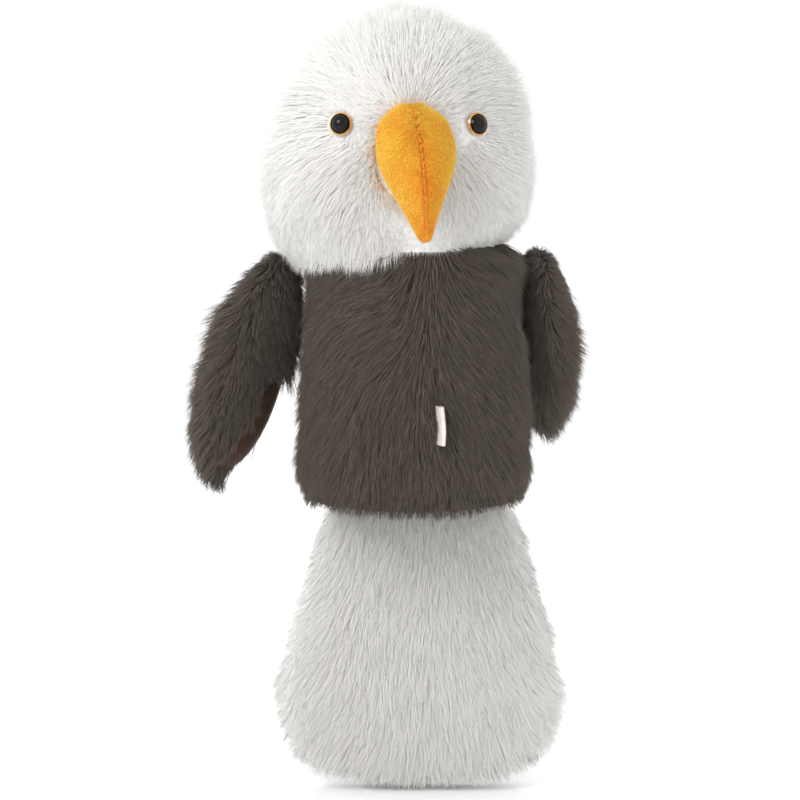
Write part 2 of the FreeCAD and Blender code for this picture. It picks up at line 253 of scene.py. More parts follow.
def smooth_rows(rows, per_gap):
    """A smooth line of rows through the given ones."""
    rows = np.asarray(rows, dtype=float)
    ends = np.concatenate([[2 * rows[0] - rows[1]], rows, [2 * rows[-1] - rows[-2]]])
    out = []
    for i in range(len(rows) - 1):
        p0, p1, p2, p3 = ends[i:i + 4]
        for step in range(per_gap):
            t = step / per_gap
            out.append(0.5 * (2 * p1 + (p2 - p0) * t + (2 * p0 - 5 * p1 + 4 * p2 - p3) * t ** 2
                              + (3 * p1 - p0 - 3 * p2 + p3) * t ** 3))
    out.append(rows[-1])
    return np.array(out)


def grid_cloth(points):
    """Cloth from rows of points that close round on themselves, first row lowest, normals outward."""
    rows, columns = points.shape[:2]
    around = np.roll(points, -1, axis=1) - np.roll(points, 1, axis=1)
    along = np.gradient(points, axis=0)
    normals = unit(np.cross(around, along))
    index = np.arange(rows * columns).reshape(rows, columns)
    right = np.roll(index, -1, axis=1)
    faces = np.stack([index[:-1], right[:-1], right[1:], index[1:]], axis=-1).reshape(-1, 4)
    return Cloth(points.reshape(-1, 3), faces, normals.reshape(-1, 3))


def squircle(angle, squareness=SQUARENESS):
    """Unit outline between a circle and a square."""
    c, s = np.cos(angle), np.sin(angle)
    return np.sign(c) * np.abs(c) ** (2 / squareness), np.sign(s) * np.abs(s) ** (2 / squareness)


def ring_cloth(sections, per_gap=8, squareness=SQUARENESS):
    """Cloth round a stack of (height, half width, half depth) sections, in millimetres."""
    rows = smooth_rows(sections, per_gap) * MM
    x, y = squircle(np.linspace(0, 2 * math.pi, RING_STEPS, endpoint=False), squareness)
    points = np.zeros((len(rows), RING_STEPS, 3))
    points[:, :, 0] = rows[:, 1:2] * x
    points[:, :, 1] = rows[:, 2:3] * y
    points[:, :, 2] = rows[:, 0:1]
    return grid_cloth(points)


def ripple(points, scale, seed):
    """Smooth pseudo-random value between -1 and 1 at each point, over lumps of the given size."""
    rng = np.random.default_rng(seed)
    total = np.zeros(len(points))
    for _ in range(5):
        wave = unit(rng.normal(size=3)) * (2 * math.pi / scale) * rng.uniform(0.6, 1.5)
        total += np.sin(points @ wave + rng.uniform(0, 2 * math.pi))
    return total / 3.2


def rotate_about(vectors, axes, angles):
    """Each vector turned about its own unit axis."""
    c = np.cos(angles)[:, None]
    s = np.sin(angles)[:, None]
    dot = (vectors * axes).sum(axis=1, keepdims=True)
    return vectors * c + np.cross(axes, vectors) * s + axes * dot * (1 - c)


def nearest(points, centres):
    """Index of the centre nearest to each point."""
    found = np.empty(len(points), dtype=int)
    square = (centres ** 2).sum(axis=1)
    for start in range(0, len(points), 2048):
        some = points[start:start + 2048]
        found[start:start + 2048] = (square - 2 * some @ centres.T).argmin(axis=1)
    return found


# ---------------------------------------------------------------- making objects

def add_mesh(name, points, polygons, material, smooth=True, place=None):
    """New object from points and lists of corners."""
    mesh = bpy.data.meshes.new(name)
    if place is not None and place.determinant() < 0:
        polygons = [tuple(face)[::-1] for face in polygons]
    mesh.from_pydata([tuple(p) for p in points], [], [tuple(f) for f in polygons])
    mesh.polygons.foreach_set("use_smooth", [smooth] * len(mesh.polygons))
    if place is not None:
        mesh.transform(place)
    mesh.materials.append(material)
    mesh.validate()
    mesh.update()
    obj = bpy.data.objects.new(name, mesh)
    bpy.context.scene.collection.objects.link(obj)
    return obj


def add_shell(name, cloth, thickness, material, place=None):
    """Closed piece of cloth: the surface, the same surface drawn in by the thickness, and its rim."""
    used = np.unique(cloth.faces)
    number = np.full(len(cloth.points), -1)
    number[used] = np.arange(len(used))
    outer = number[cloth.faces]
    count = len(used)
    points = np.concatenate([cloth.points[used], cloth.points[used] - cloth.normals[used] * thickness])
    edges = np.concatenate([np.stack([outer[:, i], outer[:, (i + 1) % 4]], axis=1) for i in range(4)])
    key = edges.min(axis=1) * count + edges.max(axis=1)
    _, place_of, times = np.unique(key, return_inverse=True, return_counts=True)
    rim = edges[times[place_of] == 1]
    walls = np.stack([rim[:, 1], rim[:, 0], rim[:, 0] + count, rim[:, 1] + count], axis=1)
    faces = np.concatenate([outer, outer[:, ::-1] + count, walls])
    return add_mesh(name, points, faces, material, place=place)


def strand_lines(roots, normals, flow, length, start_angle, end_angle, fall, rings, rng):
    """Centre lines of strands that leave the cloth at one angle from its normal and bend to another."""
    across = unit(flow - normals * (flow * normals).sum(axis=1, keepdims=True))
    lines = [roots]
    step = length[:, None] / rings
    for index in range(rings):
        share = (index + 0.5) / rings
        angle = (start_angle + (end_angle - start_angle) * share)[:, None]
        way = normals * np.cos(angle) + across * np.sin(angle) + DOWN * fall * share
        way = unit(way) + rng.normal(scale=0.07, size=way.shape)
        lines.append(lines[-1] + unit(way) * step)
    return np.stack(lines, axis=1)


def gather_locks(lines, spacing, pull, rng):
    """Draw the ends of neighbouring strands together into locks. Also gives each strand's lock."""
    roots = lines[:, 0]
    count = max(1, int(len(roots) / (spacing ** 2)))
    leaders = rng.choice(len(roots), size=count, replace=False)
    group = nearest(roots + rng.normal(scale=0.25 * MM, size=roots.shape), roots[leaders])
    guide = lines[leaders][group]
    strength = pull * rng.uniform(0.25, 1.0, size=len(roots))
    share = (np.linspace(0, 1, lines.shape[1]) ** 1.2)[None, :, None]
    return lines + (guide - lines) * strength[:, None, None] * share, group


def strand_mesh(name, lines, cover, own, radius, shade, material, place):
    """One object of closed tapering strands. Its UV map holds the shade across and the root to tip along."""
    count = len(lines)
    strand_rings = lines.shape[1] - 1
    ways = unit(np.gradient(lines, axis=1))
    start = unit(np.cross(ways[:, 0], np.array([0.31, 0.52, 0.79])))
    turns = (np.arange(count) * 2.399)[:, None] + np.arange(STRAND_SIDES) * 2 * math.pi / STRAND_SIDES
    rings = []
    facing = []
    for index in range(strand_rings):
        side = unit(start - ways[:, index] * (start * ways[:, index]).sum(axis=1, keepdims=True))
        other = np.cross(ways[:, index], side)
        width = radius * (1 - 0.75 * (index / strand_rings) ** 1.4)
        out = np.cos(turns)[:, :, None] * side[:, None] + np.sin(turns)[:, :, None] * other[:, None]
        rings.append(lines[:, index][:, None] + out * width[:, None, None])
        facing.append(out * own + cover[:, None])
    per = strand_rings * STRAND_SIDES + 1
    points = np.concatenate([*rings, lines[:, -1][:, None]], axis=1)
    normals = np.concatenate([*facing, cover[:, None]], axis=1)
    quads = []
    caps = []
    last = strand_rings - 1
    for side in range(STRAND_SIDES):
        nxt = (side + 1) % STRAND_SIDES
        for ring in range(last):
            low, high = ring * STRAND_SIDES, (ring + 1) * STRAND_SIDES
            quads.append((low + side, low + nxt, high + nxt, high + side))
        caps.append((last * STRAND_SIDES + side, last * STRAND_SIDES + nxt, per - 1))
    caps.append(tuple(range(STRAND_SIDES - 1, -1, -1)))
    corners = np.array([corner for face in quads + caps for corner in face])
    sizes = np.array([len(face) for face in quads + caps])
    loops = (corners[None] + np.arange(count)[:, None] * per).ravel()
    totals = np.tile(sizes, count)
    starts = np.concatenate([[0], np.cumsum(totals)[:-1]])
    mesh = bpy.data.meshes.new(name)
    mesh.vertices.add(count * per)
    matrix = np.array(place if place is not None else Matrix.Identity(4))
    world = points.reshape(-1, 3) @ matrix[:3, :3].T + matrix[:3, 3]
    mesh.vertices.foreach_set("co", world.astype(np.float32).ravel())
    mesh.loops.add(len(loops))
    if np.linalg.det(matrix[:3, :3]) < 0:
        loops = mirrored_loops(loops, totals)
    mesh.loops.foreach_set("vertex_index", loops.astype(np.int32))
    mesh.polygons.add(len(totals))
    mesh.polygons.foreach_set("loop_start", starts.astype(np.int32))
    mesh.polygons.foreach_set("loop_total", totals.astype(np.int32))
    mesh.polygons.foreach_set("use_smooth", np.ones(len(totals), dtype=bool))
    layer = mesh.uv_layers.new(name="OFBake")
    spot = np.array([0.1 + 0.8 * side / (STRAND_SIDES - 1) for side in range(STRAND_SIDES)] * strand_rings + [0.5])
    height = np.array([ring / strand_rings for ring in range(strand_rings) for _ in range(STRAND_SIDES)] + [1.0])
    bucket = np.clip((shade * SHADES).astype(int), 0, SHADES - 1)
    corner = loops % per
    strand = loops // per
    across = (bucket[strand] + spot[corner]) / SHADES
    layer.data.foreach_set("uv", np.stack([across, height[corner]], axis=-1).astype(np.float32).ravel())
    mesh.update(calc_edges=True)
    shading = unit(normals.reshape(-1, 3) @ matrix[:3, :3].T)
    if own < OWN_NORMALS:
        mesh.normals_split_custom_set_from_vertices(shading.astype(np.float32))
    mesh.materials.append(material)
    obj = bpy.data.objects.new(name, mesh)
    bpy.context.scene.collection.objects.link(obj)
    return obj


def mirrored_loops(loops, totals):
    """The same faces with their corners in the opposite order."""
    ends = np.cumsum(totals)
    place = np.arange(len(loops))
    face = np.repeat(np.arange(len(totals)), totals)
    return loops[ends[face] - 1 - (place - (ends[face] - totals[face]))]


def declare_padded(piece, body, node):
    """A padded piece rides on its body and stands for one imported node."""
    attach(piece, body)
    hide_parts(node)


def add_pile(name, body, cloth, style, material, rng, place=None):
    """Pile over a cloth, as one or more objects of strands that ride on a body."""
    roots, normals = cloth.roots(style["density"], rng)
    keep = style.get("keep")
    if keep is not None:
        chosen = keep(roots)
        roots, normals = roots[chosen], normals[chosen]
    count = len(roots)
    flow = style["flow"](roots, normals)
    swirl = ripple(roots, style["swirl_size"], style["seed"]) * style["swirl"]
    across = unit(flow - normals * (flow * normals).sum(axis=1, keepdims=True))
    across = rotate_about(across, normals, swirl + rng.normal(scale=style["stray"], size=count))
    length = style["length"] * rng.uniform(0.72, 1.08, size=count)
    length = length * (1 + 0.10 * ripple(roots, 0.03, style["seed"] + 1))
    if "shorten" in style:
        length = length * style["shorten"](roots)
    start = math.radians(style["start"]) + rng.normal(scale=0.13, size=count)
    end = math.radians(style["end"]) + rng.normal(scale=0.16, size=count)
    lines = strand_lines(roots, normals, across, length, start, end, style["fall"], style["rings"], rng)
    lines, lock = gather_locks(lines, style["lock"], style["pull"], rng)
    radius = style["thickness"] / 2 * rng.uniform(0.75, 1.15, size=count)
    own_shade = rng.beta(*style["mix"], size=count)
    lock_shade = rng.beta(*style["mix"], size=count)[lock]
    shade = np.clip(0.5 * own_shade + 0.5 * lock_shade + 0.16 * ripple(roots, 0.025, style["seed"] + 2)
                    + style.get("tint", lambda p: 0.0)(roots), 0, 0.999)
    pieces = []
    per_strand = STRAND_SIDES * (2 * style["rings"] - 1) + 1
    parts = max(1, math.ceil(count * per_strand / TRIANGLES_PER_PIECE))
    order = np.arange(count)
    for index in range(parts):
        some = order[index::parts]
        title = name if parts == 1 else f"{name}_{index + 1}"
        obj = strand_mesh(title, lines[some], normals[some], style["own"], radius[some], shade[some],
                          material, place)
        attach(obj, body)
        pieces.append(obj)
    return pieces


# ---------------------------------------------------------------- materials

def new_material(name):
    material = bpy.data.materials.new(name)
    material.use_nodes = True
    return material, material.node_tree.nodes, material.node_tree.links, material.node_tree.nodes["Principled BSDF"]


def ramp_node(nodes, stops):
    node = nodes.new("ShaderNodeValToRGB")
    elements = node.color_ramp.elements
    while len(elements) < len(stops):
        elements.new(0.5)
    for element, (position, shade) in zip(elements, stops):
        element.position = position
        element.color = (*shade, 1)
    return node


def mix_colours(nodes, links, factor, first, second, blend="MIX"):
    node = nodes.new("ShaderNodeMix")
    node.data_type = "RGBA"
    node.blend_type = blend
    for socket, value in ((node.inputs["Factor"], factor), (node.inputs["A"], first),
                          (node.inputs["B"], second)):
        if hasattr(value, "links"):
            links.new(value, socket)
        elif isinstance(value, (int, float)):
            socket.default_value = value
        else:
            socket.default_value = (*value, 1)
    return node.outputs["Result"]


def scaled(shade, factor):
    return tuple(min(1.0, channel * factor) for channel in shade)


def pile_material(name, dark, light, roughness, sheen, shine=0.4):
    """Strand colour from its UV map: dark and light strands, each from root to tip."""
    material, nodes, links, shader = new_material(name)
    spot = nodes.new("ShaderNodeUVMap")
    spot.uv_map = "OFBake"
    split = nodes.new("ShaderNodeSeparateXYZ")
    links.new(spot.outputs["UV"], split.inputs["Vector"])
    ramps = []
    for stops in (dark, light):
        ramp = ramp_node(nodes, stops)
        links.new(split.outputs["Y"], ramp.inputs["Fac"])
        ramps.append(ramp.outputs["Color"])
    base = mix_colours(nodes, links, split.outputs["X"], ramps[0], ramps[1])
    grain = nodes.new("ShaderNodeTexNoise")
    grain.inputs["Scale"].default_value = 24.0
    links.new(spot.outputs["UV"], grain.inputs["Vector"])
    tone = ramp_node(nodes, [(0.3, (0.95, 0.945, 0.935)), (0.7, (1.0, 1.0, 1.0))])
    links.new(grain.outputs["Fac"], tone.inputs["Fac"])
    links.new(mix_colours(nodes, links, 1.0, base, tone.outputs["Color"], "MULTIPLY"),
              shader.inputs["Base Color"])
    shader.inputs["Roughness"].default_value = roughness
    shader.inputs["Specular IOR Level"].default_value = shine
    shader.inputs["Sheen Weight"].default_value = sheen
    shader.inputs["Sheen Roughness"].default_value = 0.4
    return material


def cloth_material(name, dark, light, scale, roughness, bump, sheen=0.0, weave=False):
    """Cloth with mottled colour and a fine bump from noise or a woven grid."""
    material, nodes, links, shader = new_material(name)
    spot = nodes.new("ShaderNodeTexCoord")
    mottle = nodes.new("ShaderNodeTexNoise")
    mottle.inputs["Scale"].default_value = scale * 0.08
    mottle.inputs["Detail"].default_value = 6.0
    links.new(spot.outputs["Object"], mottle.inputs["Vector"])
    fine = nodes.new("ShaderNodeTexNoise")
    fine.inputs["Scale"].default_value = scale
    fine.inputs["Detail"].default_value = 3.0
    links.new(spot.outputs["Object"], fine.inputs["Vector"])
    ramp = ramp_node(nodes, [(0.32, dark), (0.68, light)])
    links.new(mottle.outputs["Fac"], ramp.inputs["Fac"])
    speck = ramp_node(nodes, [(0.3, (0.72, 0.72, 0.72)), (0.7, (1.0, 1.0, 1.0))])
    links.new(fine.outputs["Fac"], speck.inputs["Fac"])
    shade = mix_colours(nodes, links, 1.0, ramp.outputs["Color"], speck.outputs["Color"], "MULTIPLY")
    links.new(shade, shader.inputs["Base Color"])
    height = fine.outputs["Fac"]
    if weave:
        threads = nodes.new("ShaderNodeTexVoronoi")
        threads.inputs["Scale"].default_value = scale
        threads.inputs["Randomness"].default_value = 0.15
        links.new(spot.outputs["Object"], threads.inputs["Vector"])
        height = threads.outputs["Distance"]
    raise_node = nodes.new("ShaderNodeBump")
    raise_node.inputs["Strength"].default_value = bump
    raise_node.inputs["Distance"].default_value = 0.0004
    links.new(height, raise_node.inputs["Height"])
    links.new(raise_node.outputs["Normal"], shader.inputs["Normal"])
    shader.inputs["Roughness"].default_value = roughness
    shader.inputs["Sheen Weight"].default_value = sheen
    shader.inputs["Sheen Roughness"].default_value = 0.35
    return material


def gloss_material(name, shade, edge, roughness, coat, shine=0.5):
    """Moulded glossy plastic with a faint cloudy depth."""
    material, nodes, links, shader = new_material(name)
    spot = nodes.new("ShaderNodeTexCoord")
    cloud = nodes.new("ShaderNodeTexNoise")
    cloud.inputs["Scale"].default_value = 420.0
    links.new(spot.outputs["Object"], cloud.inputs["Vector"])
    ramp = ramp_node(nodes, [(0.3, shade), (0.75, edge)])
    links.new(cloud.outputs["Fac"], ramp.inputs["Fac"])
    links.new(ramp.outputs["Color"], shader.inputs["Base Color"])
    shader.inputs["Roughness"].default_value = roughness
    shader.inputs["Specular IOR Level"].default_value = shine
    shader.inputs["Coat Weight"].default_value = coat
    shader.inputs["Coat Roughness"].default_value = 0.03
    return material


def floor_material(shade):
    """Matt paper with a very faint change of tone."""
    material, nodes, links, shader = new_material("floor_paper")
    spot = nodes.new("ShaderNodeTexCoord")
    tone = nodes.new("ShaderNodeTexNoise")
    tone.inputs["Scale"].default_value = 0.6
    links.new(spot.outputs["Object"], tone.inputs["Vector"])
    ramp = ramp_node(nodes, [(0.3, scaled(shade, 0.995)), (0.7, shade)])
    links.new(tone.outputs["Fac"], ramp.inputs["Fac"])
    links.new(ramp.outputs["Color"], shader.inputs["Base Color"])
    shader.inputs["Roughness"].default_value = 0.95
    return material


def white_pile():
    found = bpy.data.materials.get("white_pile")
    if found:
        return found
    fur = bpy.context.scene.cover_fur
    root, tip = tuple(fur.white_root), tuple(fur.white_tip)
    dark = [(0.0, root), (0.45, scaled(tip, 0.94)), (1.0, scaled(tip, 0.97))]
    light = [(0.0, scaled(root, 1.04)), (0.35, tip), (1.0, scaled(tip, 1.02))]
    return pile_material("white_pile", dark, light, 0.75, 0.25)


def brown_pile():
    found = bpy.data.materials.get("brown_pile")
    if found:
        return found
    fur = bpy.context.scene.cover_fur
    root, middle, tip = tuple(fur.brown_root), tuple(fur.brown_middle), tuple(fur.brown_tip)
    dark = [(0.0, root), (0.5, scaled(middle, 0.6)), (1.0, scaled(middle, 1.2))]
    light = [(0.0, root), (0.25, scaled(middle, 2.0)), (0.55, scaled(tip, 0.45)), (0.9, tip)]
    return pile_material("brown_pile", dark, light, 0.5, 0.0, shine=0.12)


def blush_and_shade_pile():
    """Orange-tinted white strands where the beak is sewn in: the orange is partly the beak's own pile mixed in and
    partly painted brownish shade at the seam.
    """
    found = bpy.data.materials.get("beak_blush_and_shade")
    if found:
        return found
    orange = tuple(bpy.context.scene.cover_cloth.beak_orange)
    dark = [(0.0, orange), (0.5, (0.90, 0.52, 0.24)), (1.0, (0.93, 0.74, 0.58))]
    light = [(0.0, (0.90, 0.48, 0.16)), (0.5, (0.93, 0.70, 0.50)), (1.0, (0.95, 0.88, 0.80))]
    return pile_material("beak_blush_and_shade", dark, light, 0.75, 0.2)


def velboa_pile():
    """Short beak pile, from deep orange to yellow."""
    found = bpy.data.materials.get("beak_pile")
    if found:
        return found
    cloth = bpy.context.scene.cover_cloth
    orange, yellow = tuple(cloth.beak_orange), tuple(cloth.beak_yellow)
    dark = [(0.0, scaled(orange, 0.6)), (0.5, orange), (1.0, scaled(orange, 1.1))]
    light = [(0.0, scaled(yellow, 0.75)), (0.5, yellow), (1.0, (0.98, 0.66, 0.09))]
    return pile_material("beak_pile", dark, light, 0.7, 0.2)


def knit_material(name, shade):
    return cloth_material(name, scaled(shade, 0.7), scaled(shade, 1.4), 1200.0, 0.9, 0.8, weave=True)


def tape_material(name, shade):
    return cloth_material(name, scaled(shade, 0.9), scaled(shade, 1.05), 2600.0, 0.7, 0.4, weave=True)


def backing_material(name, shade):
    found = bpy.data.materials.get(name)
    if found:
        return found
    return cloth_material(name, scaled(shade, 0.8), scaled(shade, 1.15), 900.0, 0.95, 0.4, weave=True)


# ---------------------------------------------------------------- pieces

def head_place():
    return Matrix.Translation(HEAD_SHIFT) @ Matrix.Rotation(HEAD_TURN, 4, "Z")


def eye_points():
    """Places of the two packed eyes, in the head's frame."""
    places = []
    for word in ("left", "right"):
        low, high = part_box(f"eye_{word}_iris")
        places.append(np.array(head_place().inverted() @ ((Vector(low) + Vector(high)) / 2)))
    return places


def near_eyes(roots, inner, outer):
    """0 at the eyes, 1 away from them."""
    away = np.min([np.linalg.norm((roots - eye) * np.array([1.0, 0.6, 1.0]),
                                  axis=1) for eye in eye_points()], axis=0)
    return np.clip((away - inner) / (outer - inner), 0, 1)


def near_beak(roots):
    """Distance from the beak's middle as a share of its size, in front of the head only."""
    x = roots[:, 0] / (20 * MM)
    z = (roots[:, 2] - BEAK_MIDDLE[2]) / (26 * MM)
    away = np.sqrt(x ** 2 + z ** 2)
    return np.where(roots[:, 1] < 0, away, 9.0)


def low_fringe(roots):
    """Share of full length near the neck: the fringe hangs lower on the left of the chin than on the right."""
    high = np.clip((roots[:, 2] - 0.150) / 0.022, 0, 1)
    left = 1 / (1 + np.exp((roots[:, 0] + 4 * MM) / (3 * MM)))
    back = np.clip(roots[:, 1] / 0.02, 0, 1)
    return high + (1 - high) * (0.30 + 0.62 * np.maximum(left, 0.6 * back))


def head_flow(roots, normals):
    """Pile runs away from the beak, over the crown and down the cheeks."""
    away = unit(roots - BEAK_MIDDLE)
    height = np.clip((roots[:, 2] - 0.150) / 0.1, 0, 1)[:, None]
    flow = away * (0.9 * height + 0.35) + DOWN * (1.1 - 0.75 * height)
    for eye in eye_points():
        apart = roots - eye
        close = np.exp(-(np.linalg.norm(apart, axis=1) / (11 * MM)) ** 2)[:, None]
        flow = flow + unit(apart) * close * 1.6
    return flow


def sleeve_flow(roots, normals):
    """Pile runs down, parting to each side of the front seam."""
    across = roots[:, 0] - FRONT_SEAM
    front = np.clip(-roots[:, 1] / 0.02, 0, 1)
    side = np.tanh(across / (14 * MM)) * 0.70 * front * np.clip(0.30 + roots[:, 2] / 0.13, 0, 1.25)
    flow = np.tile(DOWN, (len(roots), 1)).astype(float)
    flow[:, 0] += side
    return flow


def tail_flow(roots, normals):
    flow = np.tile(DOWN, (len(roots), 1)).astype(float)
    flow[:, 0] += roots[:, 0] / 0.085
    return flow


def wing_flow(roots, normals):
    front = np.clip(-normals[:, 1:2], 0, 1)
    back = np.clip(normals[:, 1:2], 0, 1)
    return DOWN + np.cross(normals, UP) * (0.85 * front - 0.3 * back)


def pile_style(fur, **changes):
    style = dict(density=fur.brown_density, thickness=fur.brown_thickness, swirl=0.25, swirl_size=0.05,
                 stray=0.16,
                 start=30, end=62, fall=0.15, lock=4.5, pull=0.5, seed=fur.seed, rings=3, own=3.0,
                 mix=(0.4, 0.8))
    style.update(changes)
    return style


class COVER_OT_head(Operator):
    """White pile head: two sides, the crown gusset and the chin"""
    bl_idname = "cover.head"
    bl_label = "Head Pile"

    def execute(self, context):
        fur = context.scene.cover_fur
        whole = ring_cloth(HEAD_CLOTH)
        seam = np.abs(np.abs(whole.points[:, 0]) - GUSSET_HALF)
        dip = np.exp(-(seam / (5 * MM)) ** 2) * 2.5 * MM * (whole.points[:, 2] > 0.2)
        lump = ripple(whole.points, 0.06, fur.seed) * 1.2 * MM
        whole.points = whole.points + whole.normals * (lump - dip)[:, None]
        middle = lambda p: np.abs(p[:, 0]) < GUSSET_HALF
        chin = lambda p: middle(p) & (p[:, 1] < 0) & (p[:, 2] < CHIN_TOP)
        panels = {
            "head_side_left": lambda p: p[:, 0] <= -GUSSET_HALF,
            "head_side_right": lambda p: p[:, 0] >= GUSSET_HALF,
            "head_crown_gusset": lambda p: middle(p) & ~chin(p),
            "head_chin_panel": chin,
        }
        style = pile_style(
            fur, length=fur.head_length, flow=head_flow, start=24, end=60, fall=0.10, lock=5.0, pull=0.42,
            density=fur.white_density, thickness=fur.white_thickness, rings=2, own=0.8, mix=(2, 2),
            shorten=lambda p: (0.22 + 0.78 * near_eyes(p, 6 * MM, 20 * MM)) * low_fringe(p)
            * (0.36 + 0.64 * np.clip((near_beak(p) - 1.0) / 1.1, 0, 1)),
            keep=lambda p: (near_eyes(p, 7.4 * MM, 7.6 * MM) > 0) & (near_beak(p) > 0.93),
        )
        # Short strands round the beak's base, coloured with the beak's orange plus painted brownish shade at the
        # seam
        blush_and_shade = pile_style(
            fur, length=fur.head_length * 0.42, flow=head_flow, start=20, end=50, fall=0.0, lock=3.0,
            pull=0.2,
            density=0.9, thickness=fur.white_thickness, rings=2, own=0.8, mix=(2, 2),
            keep=lambda p: (near_beak(p) > 0.90) & (near_beak(p) < 1.12),
        )
        for index, (name, test) in enumerate(panels.items()):
            rng = np.random.default_rng(fur.seed + index)
            cloth = whole.part(test)
            base = add_shell(name + "_backing", cloth, 1.5 * MM,
                             backing_material("white_backing", WHITE_BACKING),
                             head_place())
            declare_padded(base, "cover", name)
            add_pile(name + "_pile", "cover", cloth, style, white_pile(), rng, head_place())
            if name in ("head_crown_gusset", "head_chin_panel"):
                add_pile(name + "_blush", "cover", cloth, blush_and_shade, blush_and_shade_pile(), rng,
                         head_place())
        return {"FINISHED"}


class COVER_OT_sleeve(Operator):
    """Brown pile sleeve: two fronts and the back"""
    bl_idname = "cover.sleeve"
    bl_label = "Sleeve Pile"

    def execute(self, context):
        fur = context.scene.cover_fur
        whole = ring_cloth(SLEEVE_CLOTH)
        whole.points = whole.points + whole.normals * (ripple(whole.points, 0.07,
                                                              fur.seed + 5) * 1.2 * MM)[:, None]
        low = np.clip(1 - whole.points[:, 2] / 0.035, 0, 1)
        whole.points[:, 2] += 9 * MM * low * np.abs(whole.points[:, 0] / 0.055) ** 3
        panels = {
            "body_front_left": lambda p: (p[:, 1] < 0) & (p[:, 0] < FRONT_SEAM),
            "body_front_right": lambda p: (p[:, 1] < 0) & (p[:, 0] >= FRONT_SEAM),
            "body_back": lambda p: p[:, 1] >= 0,
        }
        style = pile_style(
            fur, length=fur.sleeve_length, flow=sleeve_flow, start=46, end=76, fall=0.05, lock=4.6, pull=0.6,
            swirl=0.34, stray=0.15, tint=lambda p: 0.2 * np.clip(1 - p[:, 2] / 0.03, 0, 1),
            shorten=lambda p: 0.42 + 0.58 * np.clip((p[:, 2] - 3 * MM) / 0.026, 0, 1),
        )
        for index, (name, test) in enumerate(panels.items()):
            rng = np.random.default_rng(fur.seed + 20 + index)
            cloth = whole.part(test)
            base = add_shell(name + "_backing", cloth, 1.5 * MM,
                             backing_material("brown_backing", BROWN_BACKING))
            declare_padded(base, "cover", name)
            add_pile(name + "_pile", "cover", cloth, style, brown_pile(), rng)
        return {"FINISHED"}


def wing_place(spec):
    turn = Euler((math.radians(spec["back"]), 0, 0)).to_matrix()
    turn = turn @ Euler((0, math.radians(-spec["side"] * spec["out"]), 0)).to_matrix()
    turn = turn @ Euler((0, 0, math.radians(spec["side"] * spec["yaw"]))).to_matrix()
    mirror = Matrix.Diagonal((-spec["side"], 1, 1, 1))
    return Matrix.Translation(Vector(spec["root"]) * MM) @ turn.to_4x4() @ mirror


def under_lining(points):
    """Where a wing's lining shows: low down, and further forward towards the tip. Pile wraps the rest."""
    edge = np.interp(points[:, 2], LINING_HEIGHTS, LINING_EDGE)
    return (points[:, 0] >= WING_UNDERSIDE * LINING_FROM) & (points[:, 1] > edge)


def wing_lengths(points):
    """Share of full length: short at the root, and shorter where the pile wraps under the wing."""
    return (0.35 + 0.65 * np.clip(-points[:, 2] / 0.02, 0, 1)) * np.where(points[:, 0] > 3 * MM, 0.6, 1.0)


def off_back_rim(points):
    """Where a wing carries pile: everywhere but the rim behind its lining."""
    return (points[:, 0] < -1.5 * MM) | (points[:, 1] < 4 * MM) | (points[:, 2] > -60 * MM)


class COVER_OT_wings(Operator):
    """Two wings, each with a pile outside and a brushed lining"""
    bl_idname = "cover.wings"
    bl_label = "Wings"

    def execute(self, context):
        fur = context.scene.cover_fur
        cloth_set = context.scene.cover_cloth
        sections = [(-drop, thick, wide) for drop, wide, thick in reversed(WING_CLOTH)]
        whole = ring_cloth(sections, squareness=2.0)
        suede = cloth_material("wing_suede", scaled(cloth_set.suede, 0.7), scaled(cloth_set.suede, 1.3),
                               1600.0, 0.85,
                               0.5, sheen=0.05)
        flat = whole.points[:, 0] > WING_UNDERSIDE - 0.4 * MM
        whole.points[flat, 0] = WING_UNDERSIDE - 0.4 * MM
        whole.points[flat, 0] += 0.35 * MM * ripple(whole.points[flat], 0.018, fur.seed + 9)
        style = pile_style(fur, length=fur.sleeve_length * 0.92, flow=wing_flow, start=42, end=74, fall=0.05,
                           lock=4.6, pull=0.6, swirl=0.28, stray=0.14, shorten=wing_lengths,
                           keep=off_back_rim)
        for index, (word, spec) in enumerate(WINGS.items()):
            rng = np.random.default_rng(fur.seed + 40 + index)
            place = wing_place(spec)
            body = "wing_" + word
            outer = whole.part(lambda p: ~under_lining(p))
            inner = whole.part(under_lining)
            base = add_shell(body + "_backing", outer, 1.0 * MM,
                             backing_material("brown_backing", BROWN_BACKING),
                             place)
            lining = add_shell(body + "_suede", inner, 1.0 * MM, suede, place)
            for piece, slot, node in ((base, "brown_pile", body + "_fur"),
                                      (lining, "wing_suede", body + "_lining")):
                declare_padded(piece, body, node)
            add_pile(body + "_pile", body, outer, style, brown_pile(), rng, place)
        return {"FINISHED"}


def tail_cloth():
    """Backing cloth of the tail fan, front and back, as rings from the tip up to the hinge line."""
    rows = smooth_rows(TAIL_CLOTH, 8) * MM
    angle = np.linspace(0, 2 * math.pi, RING_STEPS * 2, endpoint=False)
    c, s = np.cos(angle), np.sin(angle)
    points = np.zeros((len(rows), len(angle), 3))
    points[:, :, 0] = rows[:, 1:2] * np.sign(c) * np.abs(c) ** 0.55
    points[:, :, 1] = rows[:, 2:3] * np.sign(s) * np.abs(s) ** 0.7
    points[:, :, 2] = -rows[:, 0:1]
    return grid_cloth(points)


